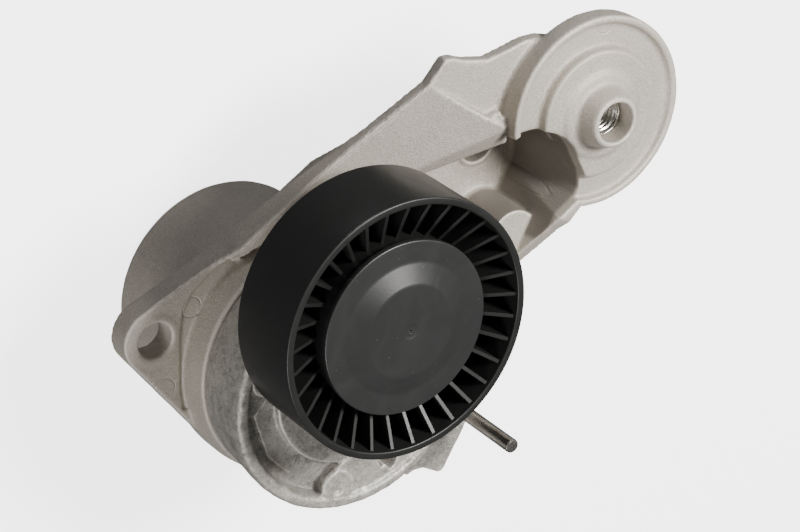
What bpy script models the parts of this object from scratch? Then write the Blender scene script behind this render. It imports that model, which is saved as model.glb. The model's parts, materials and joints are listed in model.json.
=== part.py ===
"""Accessory-belt tensioner with a smooth idler pulley on a sprung arm, and a
die-cast bracket that also carries a second idler seat behind a dust shield disc.

Metres, +Z up.  +Z is the pivot axis, from the closed end of the spring cup
towards the face of the pulley; the arm lies along +Y.  The origin is the centre
of the cup's closed end.
"""

import math

import bmesh
import bpy
from mathutils import Matrix, Vector

MM = 0.001

# ---------------------------------------------------------------- dimensions (mm)
PULLEY_XY = (-1.3, 30.1)      # pulley axis; the pivot axis is x = y = 0
PULLEY_R = 37.5
PULLEY_Z = (79.4, 104.6)
RIM_INNER_R = 35.4
FIN_COUNT = 33
FIN_START_DEG = 22.8
FIN_THICK = 0.95
HUB_R = 24.4

CAP_R = 25.1
CAP_Z = 103.3
CAP_TOP_Z = 105.6

BEARING_Z = (86.0, 98.0)
BEARING_BORE_R = 8.5
BEARING_OUTER_R = 20.0
BALL_R = 3.15
BALL_PITCH_R = 14.4
BALL_COUNT = 8

IDLER_XY = (81.4, 62.7)       # axis of the second idler seat
IDLER_SEAT_Z = 84.6
DISC_R = 28.5
DISC_BACK_Z = 69.1

EAR_HOLE_XY = (-46.8, 15.4)
EAR_R = 9.4
EAR_Z = (39.9, 48.1)
BOLT_R = 5.25                 # clearance for the mounting bolts
LOWER_BOLT_XY = (58.6, 48.7)  # mounting bolt under the scallop of the disc
POCKET_XY = (60.8, 45.4)      # axis of the drafted pocket round that bolt
WEB_Z = (42.6, 48.1)

CUP_R = 33.3
CUP_MOUTH_R = 34.6
CUP_WALL = 3.6
CUP_FLOOR = 5.0
COLLAR_R = (38.0, 36.9)       # at the foot and at the top
COLLAR_BORE_R = 33.2
COLLAR_Z = 55.6

HUB_Z = (56.4, 76.4)
ARM_HUB_R = 37.8
ARM_FACE_Z = 73.2
PIN_XY = (34.3, -17.0)
PIN_R = 2.1
PIN_Z = (51.0, 103.0)

SPRING_R = 24.6
SPRING_WIRE_R = 2.3
SPRING_TURNS = 5.0
SHAFT_R = 7.0


# ---------------------------------------------------------------- scene and materials
for old in list(bpy.data.objects):
    bpy.data.objects.remove(old, do_unlink=True)

PARTS = bpy.data.collections.new("belt_tensioner_idler")
CUTS = bpy.data.collections.new("cutters")
bpy.context.scene.collection.children.link(PARTS)
bpy.context.scene.collection.children.link(CUTS)


def material(name, color, rough, metal):
    m = bpy.data.materials.new(name)
    m.use_nodes = True
    b = m.node_tree.nodes["Principled BSDF"]
    b.inputs["Base Color"].default_value = (*color, 1)
    b.inputs["Roughness"].default_value = rough
    b.inputs["Metallic"].default_value = metal
    m.diffuse_color = (*color, 1)
    return m


MATS = {
    "die_cast_aluminium": material("die_cast_aluminium", (0.56, 0.53, 0.48), 0.55, 0.7),
    "arm_casting": material("arm_casting", (0.40, 0.37, 0.34), 0.6, 0.7),
    "black_nylon": material("black_nylon", (0.035, 0.037, 0.036), 0.42, 0.0),
    "cap_plastic": material("cap_plastic", (0.06, 0.062, 0.062), 0.45, 0.0),
    "bearing_steel": material("bearing_steel", (0.62, 0.62, 0.63), 0.22, 1.0),
    "plated_steel": material("plated_steel", (0.55, 0.55, 0.56), 0.3, 1.0),
    "spring_steel": material("spring_steel", (0.10, 0.10, 0.11), 0.45, 0.8),
    "seal_rubber": material("seal_rubber", (0.05, 0.03, 0.025), 0.7, 0.0),
    "bearing_plastic": material("bearing_plastic", (0.55, 0.50, 0.36), 0.5, 0.0),
}


# ---------------------------------------------------------------- modelling helpers
def add(name, mesh, kind, col=None):
    ob = bpy.data.objects.new(name, mesh)
    (col or PARTS).objects.link(ob)
    if kind:
        ob.data.materials.append(MATS[kind])
    return ob


def to_cutter(ob):
    for c in list(ob.users_collection):
        c.objects.unlink(ob)
    CUTS.objects.link(ob)
    ob.hide_render = True
    ob.display_type = "WIRE"
    return ob


def turned(name, profile, kind, at=(0, 0), steps=64):
    """Profile points (radius, height) in mm, down the outer side first."""
    mesh = bpy.data.meshes.new(name)
    bm = bmesh.new()
    vs = [bm.verts.new((max(r, 0) * MM, 0, z * MM)) for r, z in profile]
    closed = not (profile[0][0] <= 0 and profile[-1][0] <= 0)
    for (a, b), (p, q) in zip(zip(vs, vs[1:]), zip(profile, profile[1:])):
        if p[0] > 0 or q[0] > 0:      # no edge along the axis itself
            bm.edges.new((a, b))
    if closed:
        bm.edges.new((vs[-1], vs[0]))
    bm.to_mesh(mesh)
    bm.free()
    ob = add(name, mesh, kind)
    ob.location = (at[0] * MM, at[1] * MM, 0)
    s = ob.modifiers.new("turn", "SCREW")
    s.axis = "Z"
    s.angle = 2 * math.pi
    s.steps = steps
    s.render_steps = steps
    s.use_merge_vertices = True
    s.merge_threshold = 0.00002
    s.use_smooth_shade = True
    return ob


def outline(name, points, z0, z1, kind, at=(0, 0), turn=0.0):
    """A flat outline in mm, given thickness from z0 to z1 and made a mesh."""
    cu = bpy.data.curves.new(name, "CURVE")
    cu.dimensions = "2D"
    cu.fill_mode = "BOTH"
    cu.extrude = (z1 - z0) / 2 * MM
    sp = cu.splines.new("POLY")
    sp.points.add(len(points) - 1)
    for p, (x, y) in zip(sp.points, points):
        p.co = (x * MM, y * MM, 0, 1)
    sp.use_cyclic_u = True
    tmp = bpy.data.objects.new(name + "_curve", cu)
    PARTS.objects.link(tmp)
    bpy.context.view_layer.update()
    dg = bpy.context.evaluated_depsgraph_get()
    mesh = bpy.data.meshes.new_from_object(tmp.evaluated_get(dg))
    bpy.data.objects.remove(tmp, do_unlink=True)
    bm = bmesh.new()
    bm.from_mesh(mesh)
    bmesh.ops.remove_doubles(bm, verts=bm.verts, dist=0.000005)
    bmesh.ops.recalc_face_normals(bm, faces=bm.faces)
    if bm.calc_volume(signed=True) < 0:
        bmesh.ops.reverse_faces(bm, faces=bm.faces)
    bm.to_mesh(mesh)
    bm.free()
    mesh.name = name
    ob = add(name, mesh, kind)
    ob.location = (at[0] * MM, at[1] * MM, (z0 + z1) / 2 * MM)
    ob.rotation_euler = (0, 0, turn)
    return ob


def drum(name, r, z0, z1, kind, at=(0, 0), r_top=None, seg=40):
    mesh = bpy.data.meshes.new(name)
    bm = bmesh.new()
    bmesh.ops.create_cone(bm, cap_ends=True, segments=seg, radius1=r * MM,
                          radius2=(r if r_top is None else r_top) * MM, depth=(z1 - z0) * MM)
    bm.to_mesh(mesh)
    bm.free()
    ob = add(name, mesh, kind)
    ob.location = (at[0] * MM, at[1] * MM, (z0 + z1) / 2 * MM)
    return ob


def block(name, size, centre, kind, rot=None):
    mesh = bpy.data.meshes.new(name)
    bm = bmesh.new()
    bmesh.ops.create_cube(bm, size=1.0)
    bmesh.ops.scale(bm, vec=Vector(size) * MM, verts=bm.verts)
    bm.to_mesh(mesh)
    bm.free()
    ob = add(name, mesh, kind)
    ob.location = Vector(centre) * MM
    if rot is not None:
        ob.rotation_euler = rot
    return ob


def boolean(ob, other, op):
    m = ob.modifiers.new(op.lower(), "BOOLEAN")
    m.operation = op
    m.solver = "EXACT"
    m.object = to_cutter(other)
    return ob


def join(ob, *others):
    for o in others:
        boolean(ob, o, "UNION")
    return ob


def cut(ob, *others):
    for o in others:
        boolean(ob, o, "DIFFERENCE")
    return ob


def circle(cx, cy, r, a0=0.0, a1=360.0, n=24, ends=False):
    full = abs(a1 - a0) >= 360
    k = n if full and not ends else n - 1
    return [(cx + r * math.cos(math.radians(a0 + (a1 - a0) * i / k)),
             cy + r * math.sin(math.radians(a0 + (a1 - a0) * i / k))) for i in range(n)]


def half_space(name, through, slope, below=True, size=400):
    """A big block whose top (or bottom) face is the sloped plane
    z = z0 + sx (x - x0) + sy (y - y0)."""
    x0, y0, z0 = through
    n = Vector((-slope[0], -slope[1], 1)).normalized()
    ob = block(name, (size, size, size), (0, 0, 0), None)
    rot = Vector((0, 0, 1)).rotation_difference(n)
    ob.rotation_mode = "QUATERNION"
    ob.rotation_quaternion = rot
    centre = Vector((x0, y0, z0)) + n * (size / 2 * (-1 if below else 1))
    ob.location = centre * MM
    return ob


def smooth(ob, deg=30):
    """Smooth shading that keeps edges sharper than the angle."""
    bpy.context.view_layer.update()
    dg = bpy.context.evaluated_depsgraph_get()
    mesh = bpy.data.meshes.new_from_object(ob.evaluated_get(dg))
    bm = bmesh.new()
    bm.from_mesh(mesh)
    bmesh.ops.remove_doubles(bm, verts=bm.verts, dist=0.000002)
    bmesh.ops.dissolve_degenerate(bm, dist=0.000002, edges=bm.edges)
    bm.to_mesh(mesh)
    bm.free()
    mesh.name = ob.name
    ob.modifiers.clear()
    ob.data = mesh
    mesh.shade_smooth()
    mesh.set_sharp_from_angle(angle=math.radians(deg))
    return ob


# ---------------------------------------------------------------- joints' axes
def pivot_empty(name, at):
    e = bpy.data.objects.new(name, None)
    e.location = Vector(at) * MM
    PARTS.objects.link(e)
    return e


ARM_AXIS = pivot_empty("arm_axis", (0, 0, 0))
PULLEY_AXIS = pivot_empty("pulley_axis", (*PULLEY_XY, 0))
PIN_AXIS = pivot_empty("pin_axis", (*PIN_XY, 0))
bpy.context.view_layer.update()


def carried(ob, empty):
    ob.parent = empty
    ob.matrix_parent_inverse = empty.matrix_world.inverted()
    return ob


# ================================================================ bracket casting
# Plate that rises from the ear towards the idler seat: z of its upper face.
PLANE_A = ((29.7, 79.8, 67.6), (0.26, 0.093))
PLANE_A_BACK = ((29.7, 79.8, 63.4), (0.20, 0.13))
PLANE_A_CHAMFER = ((27.2, 54.2, 64.57), (0.067, 0.650))
PLANE_G = ((29.7, 79.8, 67.6), (0.030, -0.013))

bracket = turned("bracket_casting", [
    (COLLAR_BORE_R, COLLAR_Z), (COLLAR_R[1] - 0.4, COLLAR_Z), (COLLAR_R[1], COLLAR_Z - 0.4),
    (COLLAR_R[0], EAR_Z[1]), (COLLAR_R[0], EAR_Z[0] + 1.0), (CUP_MOUTH_R, EAR_Z[0] - 2.0),
    (CUP_R, 2.2), (CUP_R - 0.65, 0.65), (CUP_R - 2.2, 0.0), (0, 0.0),
    (0, CUP_FLOOR + 9.0), (10.6, CUP_FLOOR + 9.0), (11.4, CUP_FLOOR),
    (CUP_R - CUP_WALL - 1.5, CUP_FLOOR), (CUP_R - CUP_WALL, CUP_FLOOR + 1.5),
    (CUP_R - CUP_WALL, EAR_Z[1]), (COLLAR_BORE_R, EAR_Z[1] + 0.6),
], "die_cast_aluminium", steps=44)


def ear_outline():
    """Round end about the bolt hole, with straight sides to the collar."""
    hx, hy = EAR_HOLE_XY
    up = Vector((-0.387, 0.922))
    down = Vector((-0.815, -0.58))
    a_up = math.degrees(math.atan2(up.y, up.x))
    a_down = math.degrees(math.atan2(down.y, down.x)) + 360
    arc = circle(hx, hy, EAR_R, a_up, a_down, 14, ends=True)
    start = (hx + up.x * EAR_R, hy + up.y * EAR_R)
    t = 32.0
    top = [(start[0] + 0.922 * t, start[1] + 0.387 * t)]
    inner = circle(0, 0, 35.6, a_down, 120, 16, ends=True)
    return top + arc + [(down.x * 37.6, down.y * 37.6)] + inner


def side_wall_top(t):
    """Points along the outer edge of the rising plate, t from 0 to 1."""
    ax, ay, bx, by = -20.6, 37.2, 29.7, 79.8
    bow = 1.4 * math.sin(math.pi * t)
    return (ax + (bx - ax) * t - 0.65 * bow, ay + (by - ay) * t + 0.76 * bow)


ear = outline("ear", ear_outline(), EAR_Z[0], EAR_Z[1], None)
ear_rim = drum("ear_rim", 8.0, EAR_Z[1] - 1.0, EAR_Z[1] + 0.25, None, EAR_HOLE_XY, r_top=7.4)

# web between the collar and the idler column, with the lower bolt boss
web = outline("web", [
    (-12, 34), (-15, 37.2), (-3.2, 46.6), (20, 55.4), (44, 65), (68, 70.5), (86, 72), (95, 62),
    (91, 50), (82, 40.5), (76.3, 34.9), (70.4, 28.8), (64.8, 19.4), (62.3, 15.8), (50, 9.0), (37.0, 4)]
    + circle(0, 0, 35.6, 6, 112, 14, ends=True), WEB_Z[0], WEB_Z[1], None)
web_boss = drum("web_boss", 9.0, EAR_Z[0], WEB_Z[1] + 0.2, None, LOWER_BOLT_XY)
web_ring = drum("web_ring", 6.6, WEB_Z[1] - 1, WEB_Z[1] + 1.0, None, LOWER_BOLT_XY, r_top=6.3)

# rising plate
plate_a_pts = [(-30.2, 32.5)] + [side_wall_top(i / 6) for i in range(7)] + [
    (53.3, 63.2), (55.4, 57.2), (28.3, 50.9), (8.0, 48.0), (-6.0, 41.3), (-16.0, 36.6), (-21.8, 35.5),
    (-28.5, 32.2)]
plate_a = outline("plate_a", plate_a_pts, 38, 76, None)
boolean(plate_a, half_space("plane_a_top", *PLANE_A), "INTERSECT")
boolean(plate_a, half_space("plane_a_back", *PLANE_A_BACK, below=False), "INTERSECT")
# chamfer along the lower edge of the plate
chamfer = outline("plate_chamfer", [(24.0, 47.0), (22.0, 57.0), (30.0, 64.0), (60.0, 72.0), (64.0, 54.0)],
                  50, 85, None)
boolean(chamfer, half_space("chamfer_plane", *PLANE_A_CHAMFER, below=False), "INTERSECT")
cut(plate_a, chamfer)
# side wall under the plate's outer edge: deep at the ear, running out two thirds of the way up
foot_out = [side_wall_top(i / 10) for i in range(8)]
foot = outline("plate_foot", [(-23.5, 35.15), (-22.0, 35.9)]
               + [(x + 0.04, y - 0.05) for x, y in foot_out]
               + [(x + 2.1, y - 2.45) for x, y in reversed(foot_out)] + [(-22.6, 33.2)], 40.1, 72, None)
boolean(foot, half_space("foot_top", (29.7, 79.8, 67.2), PLANE_A[1]), "INTERSECT")
boolean(foot, half_space("foot_bottom", (-20.75, 36.9, 39.95), (0.308, 0.261), below=False), "INTERSECT")


# vertical walls under the plate and round the pocket
def wall(name, a, b, thick, z0, z1):
    ax, ay = a
    bx, by = b
    L = math.hypot(bx - ax, by - ay)
    return block(name, (L, thick, z1 - z0), ((ax + bx) / 2, (ay + by) / 2, (z0 + z1) / 2),
                 None, (0, 0, math.atan2(by - ay, bx - ax)))


rib_a = outline("rib_a", [(-6, 42.5), (9, 51.5), (28, 56.6), (52.6, 65.0), (51.2, 68.4),
                          (26.6, 60.0), (6.6, 54.8), (-8.4, 45.6)], WEB_Z[0] + 1, 74, None)
boolean(rib_a, half_space("rib_a_top", (29.7, 79.8, 66.6), PLANE_A[1]), "INTERSECT")
def drafted(name, low, high, z0, z1):
    """An outline whose sides lean, from the points low at z0 to the points high at z1."""
    ob = outline(name, low, z0, z1, None)
    for v in ob.data.vertices:
        if v.co.z > 0:
            i = min(range(len(low)), key=lambda k: (low[k][0] * MM - v.co.x) ** 2
                    + (low[k][1] * MM - v.co.y) ** 2)
            v.co.x, v.co.y = high[i][0] * MM, high[i][1] * MM
    bm = bmesh.new()
    bm.from_mesh(ob.data)
    bmesh.ops.triangulate(bm, faces=bm.faces)
    bm.to_mesh(ob.data)
    bm.free()
    return ob


def pocket_outline(r, dx):
    """The pocket round the lower bolt: an arc on the idler's side, a straight wall below."""
    return (circle(*POCKET_XY, r, 88, -27, 12, ends=True)
            + [(65.7 + dx, 32.3), (60.2 + dx, 21.9), (57.4 + dx, 16.5), (46, 14), (40, 40), (56, 61)])


def pocket(name):
    return drafted(name, pocket_outline(10.2, 0.0), pocket_outline(17.8, 3.3), WEB_Z[1], 77.0)


# wall on the outer side of the pocket, its top rising to the lip of the shield disc
rim_low = outline("rim_low", [(55, 12.2), (62.6, 15.6), (65.0, 19.2), (70.6, 28.6), (76.6, 34.6),
                              (79.5, 38.5), (74.0, 44.0), (66.0, 38.0), (58.0, 20.0)],
                  WEB_Z[0] + 0.5, 75.6, None)
boolean(rim_low, half_space("rim_low_top", (62.5, 19.0, 66.0), (0.31, 0.53)), "INTERSECT")
cut(rim_low, pocket("pocket_1"), drum("rim_in_disc", 26.3, 73.7, 80.0, None, IDLER_XY, seg=48))
# solid side of the pocket, under the disc and against the idler column
fill = outline("pocket_side", [(66, 33), (71.8, 33.6), (76.0, 38.4), (84.0, 44.5), (84.0, 56.0),
                               (76.0, 66.0), (64.0, 64.0), (58.5, 58.6), (60.0, 50.0)],
               WEB_Z[0] + 0.5, DISC_BACK_Z + 0.5, None)
boolean(fill, drum("under_disc", 28.0, 40.0, 80.0, None, IDLER_XY, seg=48), "INTERSECT")
cut(fill, pocket("pocket_2"))
# low wall from there to the collar
rim_back = outline("rim_back", [(56.5, 12.9), (62.0, 15.4), (60.0, 20.4), (52.0, 16.0), (37.4, 8.4), (36.2, 3.8)],
                   WEB_Z[0], 66.0, None)
boolean(rim_back, half_space("rim_back_top", (60.0, 16.0, 65.4), (0.36, 0.20)), "INTERSECT")
# raised boss that stands on the web, against the wall
boss_f = drafted("boss_f",
                 circle(60.0, 25.8, 9.0, 20, 190, 12, ends=True) + [(54.0, 17.5), (63.5, 20.5)],
                 circle(60.9, 25.6, 7.8, 20, 190, 12, ends=True) + [(55.0, 17.5), (64.0, 20.5)],
                 WEB_Z[0] + 1, 65.1)

# column and shield disc of the second idler seat
seat = turned("idler_seat", [
    (0, IDLER_SEAT_Z), (6.9, IDLER_SEAT_Z), (7.6, IDLER_SEAT_Z - 0.7), (9.0, 78.9), (9.5, 78.3),
    (12.3, 78.0), (13.2, 77.2), (18.5, 77.0), (18.9, 76.5), (19.3, 74.1), (25.7, 73.9),
    (26.1, 74.3), (26.4, 75.4), (26.9, 75.7), (28.0, 75.7), (28.5, 75.2), (DISC_R, DISC_BACK_Z),
    (27.4, DISC_BACK_Z - 0.2), (16.5, DISC_BACK_Z + 0.1), (13.2, 66.0), (12.4, WEB_Z[1]),
    (12.4, WEB_Z[0] + 0.6), (0, WEB_Z[0] + 0.6)], None, IDLER_XY, steps=40)
# the disc is cut away over the lower mounting bolt
cut(seat, outline("scallop", circle(59.1, 46.5, 15.4, 122, 18, 16, ends=True)
                  + [(76.6, 45.4), (76.7, 43.9), (76.9, 38.2), (77.3, 35.0), (78.5, 31.0), (60, 28),
                     (44, 36), (44, 56)], 66.5, 80.0, None))

# upper plate behind the disc
plate_g = outline("plate_g", [
    (29.7, 79.8), (35.2, 86.2), (37.6, 86.2), (41.2, 84.8), (48.8, 83.4), (55.6, 84.9),
    (61.0, 86.4), (66.3, 86.5), (70.6, 85.4), (78.0, 82.0), (82.0, 70.0), (66.0, 60.0), (55.2, 63.6), (53.3, 63.2)],
    62, 72, None)
boolean(plate_g, half_space("plane_g_top", *PLANE_G), "INTERSECT")
boolean(plate_g, half_space("plane_g_back", (29.7, 79.8, 63.5), PLANE_G[1], below=False),
        "INTERSECT")
rib_g = wall("rib_g", (49.0, 71.5), (74.0, 71.0), 3.2, WEB_Z[0] + 1, 66.0)

join(bracket, ear, ear_rim, web, web_boss, web_ring, plate_a, foot, rib_a, seat, fill, rim_low, rim_back,
     boss_f, plate_g, rib_g)

# shallow pocket between the side wall and the collar
ear_pocket = outline("ear_pocket", [(-21.6, 34.9), (-28.5, 31.4), (-34.5, 27.0), (-38.0, 21.0),
                                (-39.0, 14), (-39.4, 6), (-39.7, -2), (-39.2, -9)]
                 + circle(0, 0, COLLAR_R[0] + 0.05, 194, 121, 14, ends=True),
                 EAR_Z[1] - 1.1, EAR_Z[1] + 0.6, None)
cut(bracket, ear_pocket)
cut(bracket,
    drum("ear_hole", BOLT_R, 30, 60, None, EAR_HOLE_XY, seg=32),
    drum("lower_bolt_hole", BOLT_R, 34, 60, None, LOWER_BOLT_XY, seg=32),
    drum("shaft_bore", SHAFT_R - 0.4, 2.5, 30, None, (0, 0), seg=32),
    drum("thread_bore", 5.9, 52.0, 90.0, None, IDLER_XY, seg=36))


# the locking pin passes down an arc slot in the collar; its end face is the stop
def pin_slot():
    r = math.hypot(*PIN_XY)
    a = math.degrees(math.atan2(PIN_XY[1], PIN_XY[0]))
    a0 = a - math.degrees((PIN_R + 0.35) / r)
    outer = circle(0, 0, 43.0, a0, a + 36, 16, ends=True)
    inner = circle(0, 0, 35.3, a + 36, a0, 16, ends=True)
    return outer + inner


cut(bracket, outline("pin_slot", pin_slot(), 50.2, 58.0, None))
smooth(bracket, 28)
bracket.data.materials.clear()
bracket.data.materials.append(MATS["die_cast_aluminium"])

# threaded steel insert of the idler seat
insert = turned("idler_thread_insert", [
    (4.35, 78.6), (5.6, 78.6), (5.6, 56.0), (4.35, 56.0)], "plated_steel", IDLER_XY, steps=32)
smooth(insert)

# ================================================================ inside the cup
shaft = turned("pivot_shaft", [
    (0, 74.2), (5.0, 74.2), (SHAFT_R - 1.0, 74.2), (SHAFT_R - 1.0, 71.2), (SHAFT_R, 70.2),
    (SHAFT_R, CUP_FLOOR + 9.3), (SHAFT_R, CUP_FLOOR + 9.2), (SHAFT_R - 0.7, CUP_FLOOR + 9.2),
    (SHAFT_R - 0.7, 3.0), (0, 3.0)], "plated_steel", steps=32)
smooth(shaft)

plate = turned("hub_retaining_plate", [
    (SHAFT_R - 0.75, 75.9), (12.5, 75.9), (13.0, 75.4), (13.0, 74.1), (SHAFT_R - 0.75, 74.1)],
    "plated_steel", steps=40)
smooth(plate)


def coil_points(n_turn, per_turn=14):
    n = int(n_turn * per_turn)
    pts = []
    for i in range(n + 1):
        t = i / n
        a = 2 * math.pi * n_turn * t
        lift = (9.2 + (52.4 - 9.2) * t)
        pts.append((SPRING_R * math.cos(a), SPRING_R * math.sin(a), lift))
    return pts


cu = bpy.data.curves.new("torsion_spring", "CURVE")
cu.dimensions = "3D"
cu.bevel_depth = SPRING_WIRE_R * MM
cu.bevel_resolution = 2
cu.use_fill_caps = True
sp = cu.splines.new("POLY")
pts = coil_points(SPRING_TURNS)
sp.points.add(len(pts) - 1)
for p, c in zip(sp.points, pts):
    p.co = (c[0] * MM, c[1] * MM, c[2] * MM, 1)
spring = bpy.data.objects.new("torsion_spring", cu)
PARTS.objects.link(spring)
spring.data.materials.append(MATS["spring_steel"])

spring_seat = turned("spring_seat", [
    (22.0, 6.5), (27.9, 6.5), (27.9, 5.3), (12.2, 5.3), (12.2, 13.0), (13.6, 13.0), (13.6, 6.5)],
    "black_nylon", steps=36)
smooth(spring_seat)

damper = turned("damper_ring", [
    (28.6, 65.2), (32.6, 65.2), (32.6, 53.4), (31.6, 50.4), (28.6, 50.4)],
    "black_nylon", steps=40)
smooth(damper)
carried(damper, ARM_AXIS)

for nm, z0, z1 in (("rear_pivot_bush", 17.0, 38.0), ("front_pivot_bush", 48.0, 69.2)):
    b = turned(nm, [(SHAFT_R + 0.25, z1), (9.2, z1), (9.2, z0), (SHAFT_R + 0.25, z0)],
               "bearing_plastic", steps=32)
    smooth(b)
    carried(b, ARM_AXIS)

thrust = turned("thrust_washer", [
    (SHAFT_R + 0.25, 73.9), (13.0, 73.9), (13.0, 73.0), (SHAFT_R + 0.25, 73.0)],
    "bearing_plastic", steps=40)
smooth(thrust)
carried(thrust, ARM_AXIS)

# ================================================================ sprung arm casting
arm = turned("tensioner_arm", [
    (9.5, 72.7), (14.5, 72.7), (14.5, 71.6), (33.4, 71.6), (34.0, 75.6), (34.8, HUB_Z[1]), (36.6, HUB_Z[1]),
    (ARM_HUB_R - 0.3, HUB_Z[1] - 0.8), (ARM_HUB_R, HUB_Z[1] - 2.6), (36.2, HUB_Z[0]), (33.6, HUB_Z[0]),
    (33.6, 65.6), (13.6, 65.6), (13.2, 16.6), (9.5, 16.6)], "arm_casting", steps=44)


def hull_outline(r0, r1, n=20):
    """Two circles, about the pivot and about the pulley axis, joined by tangents."""
    px, py = PULLEY_XY
    d = math.hypot(px, py)
    base = math.degrees(math.atan2(py, px))
    spread = math.degrees(math.acos((r0 - r1) / d))
    a = circle(px, py, r1, base - spread, base + spread, n, ends=True)
    b = circle(0, 0, r0, base + spread, base - spread + 360, n, ends=True)
    return a + b


neck = outline("neck", hull_outline(24.0, 15.5), 66.2, 74.6, None)
post = turned("post", [
    (4.3, 90.5), (7.7, 90.5), (8.3, 89.9), (8.3, 84.0), (13.4, 84.0), (14.0, 83.4), (15.2, 76.8),
    (17.0, 74.8), (17.0, 67.0), (4.3, 67.0)], None, PULLEY_XY, steps=40)
lug = outline("lug", [(24, -22), (17.4, -33.0), (17.6, -34.8), (20.8, -33.9), (23.6, -34.2), (26.0, -35.6),
                      (28.6, -37.2), (29.8, -37.1), (30.7, -36.2), (37.2, -25.6), (41.0, -17.0),
                      (40.6, -13.2), (38.2, -10.6), (30, -9)], 67.4, 75.0, None)
lobe = outline("lobe", [(-11.8, -35.6), (-11.0, -31.0), (-9.6, -27.2), (-6.2, -24.6), (0, -22.5),
                        (8, -22.6), (18, -24.0), (26, -20.5), (33.2, -11.0), (36.2, -11.6),
                        (33.0, -18.6), (22, -30.4), (6.6, -36.2)], 66.0, 75.2, None)
boss1 = drum("boss1", 5.4, 74.6, 76.0, None, (-5.7, -30.3), r_top=4.9, seg=28)
boss2 = drum("boss2", 4.6, 70.0, 73.6, None, (-27.0, 8.0), r_top=4.2, seg=24)
pad = outline("pad", [(-30.6, -2.0), (-25.0, 4.5), (-13.6, -13.0), (-19.6, -23.6), (-26.5, -16.0)],
              70.5, 72.5, None)
join(arm, neck, post, lug, lobe, boss1, boss2, pad)
# the round opening through which the pivot is assembled
cut(arm, drum("hub_opening", 14.4, 72.9, 80.0, None, (0, 0), seg=40))
cut(arm, drum("hub_bore", 9.5, 10.0, 80.0, None, (0, 0), seg=40))
cut(arm, outline("window", [(7.6, -25.8), (8.8, -29.0), (10.2, -28.2), (11.8, -30.6), (13.6, -29.4),
                            (14.6, -26.6), (17.4, -25.4), (15.6, -22.2), (9.5, -22.0)], 69.0, 80.0, None))
cut(arm, drum("pin_hole", PIN_R + 0.3, 54.0, 80.0, None, PIN_XY, seg=20))
cut(arm, drum("bolt_bore", 4.4, 67.0, 95.0, None, PULLEY_XY, seg=24))
cut(arm, drum("dimple", 2.0, 75.1, 78.0, None, (-6.1, -30.7), seg=18))
smooth(arm, 30)
arm.data.materials.clear()
arm.data.materials.append(MATS["arm_casting"])
carried(arm, ARM_AXIS)

# locking pin that holds the sprung arm at its stop
pin = turned("locking_pin", [
    (0, PIN_Z[1]), (PIN_R - 0.35, PIN_Z[1]), (PIN_R, PIN_Z[1] - 0.35), (PIN_R, PIN_Z[0] + 1.2),
    (PIN_R - 0.9, PIN_Z[0]), (0, PIN_Z[0])], "plated_steel", PIN_XY, steps=20)
smooth(pin, 40)
carried(pin, PIN_AXIS)

# ================================================================ pulley, on its bearing
spacer = turned("bearing_spacer", [
    (8.7, 85.7), (11.2, 85.7), (11.2, 84.3), (8.7, 84.3)], "plated_steel", PULLEY_XY, steps=32)
smooth(spacer)
carried(spacer, ARM_AXIS)


def groove(side, n=4):
    """Ball groove of a ring: side -1 is the inner ring, +1 the outer ring."""
    mid = sum(BEARING_Z) / 2
    r = BALL_R + 0.2
    half = 38 if side < 0 else 38
    out = []
    for i in range(n + 1):
        a = math.radians(-half + 2 * half * i / n)
        out.append((BALL_PITCH_R + side * r * math.cos(a), mid - side * r * math.sin(a) * 1.0))
    return out


inner_groove = [(r, z) for r, z in groove(-1)]
inner_groove.sort(key=lambda p: -p[1])
outer_groove = sorted(groove(1), key=lambda p: p[1])
inner = turned("bearing_inner_ring", [
    (BEARING_BORE_R, BEARING_Z[1]), (12.1, BEARING_Z[1])] + inner_groove + [
    (12.1, BEARING_Z[0]), (BEARING_BORE_R, BEARING_Z[0])], "bearing_steel", PULLEY_XY, steps=32)
smooth(inner)
carried(inner, ARM_AXIS)

outer = turned("bearing_outer_ring", [
    (16.7, BEARING_Z[1]), (BEARING_OUTER_R - 0.4, BEARING_Z[1]), (BEARING_OUTER_R, BEARING_Z[1] - 0.4),
    (BEARING_OUTER_R, BEARING_Z[0] + 0.4), (BEARING_OUTER_R - 0.4, BEARING_Z[0]),
    (16.7, BEARING_Z[0])] + outer_groove, "bearing_steel", PULLEY_XY, steps=32)
smooth(outer)
carried(outer, PULLEY_AXIS)

cage = turned("bearing_cage", [
    (13.3, 93.2), (15.5, 93.2), (15.5, 87.6), (13.3, 87.6)], "bearing_plastic", PULLEY_XY, steps=32)
ball_centres = []
for k in range(BALL_COUNT):
    a = 2 * math.pi * k / BALL_COUNT
    c = (PULLEY_XY[0] + BALL_PITCH_R * math.cos(a), PULLEY_XY[1] + BALL_PITCH_R * math.sin(a),
         sum(BEARING_Z) / 2)
    ball_centres.append(c)
    mesh = bpy.data.meshes.new("pocket_%d" % k)
    bm = bmesh.new()
    bmesh.ops.create_uvsphere(bm, u_segments=12, v_segments=7, radius=(BALL_R + 0.34) * MM)
    bm.to_mesh(mesh)
    bm.free()
    s = add("ball_pocket_%d" % k, mesh, None)
    s.location = Vector(c) * MM
    cut(cage, s)
smooth(cage)
cage.data.materials.clear()
cage.data.materials.append(MATS["bearing_plastic"])
carried(cage, PULLEY_AXIS)

ball_mesh = bpy.data.meshes.new("bearing_ball")
bm = bmesh.new()
bmesh.ops.create_uvsphere(bm, u_segments=12, v_segments=8, radius=BALL_R * MM)
bm.to_mesh(ball_mesh)
bm.free()
ball_mesh.materials.append(MATS["bearing_steel"])
ball_mesh.shade_smooth()
for k, c in enumerate(ball_centres):
    b = add("bearing_ball_%d" % (k + 1), ball_mesh, None)
    b.location = Vector(c) * MM
    carried(b, PULLEY_AXIS)

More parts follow.
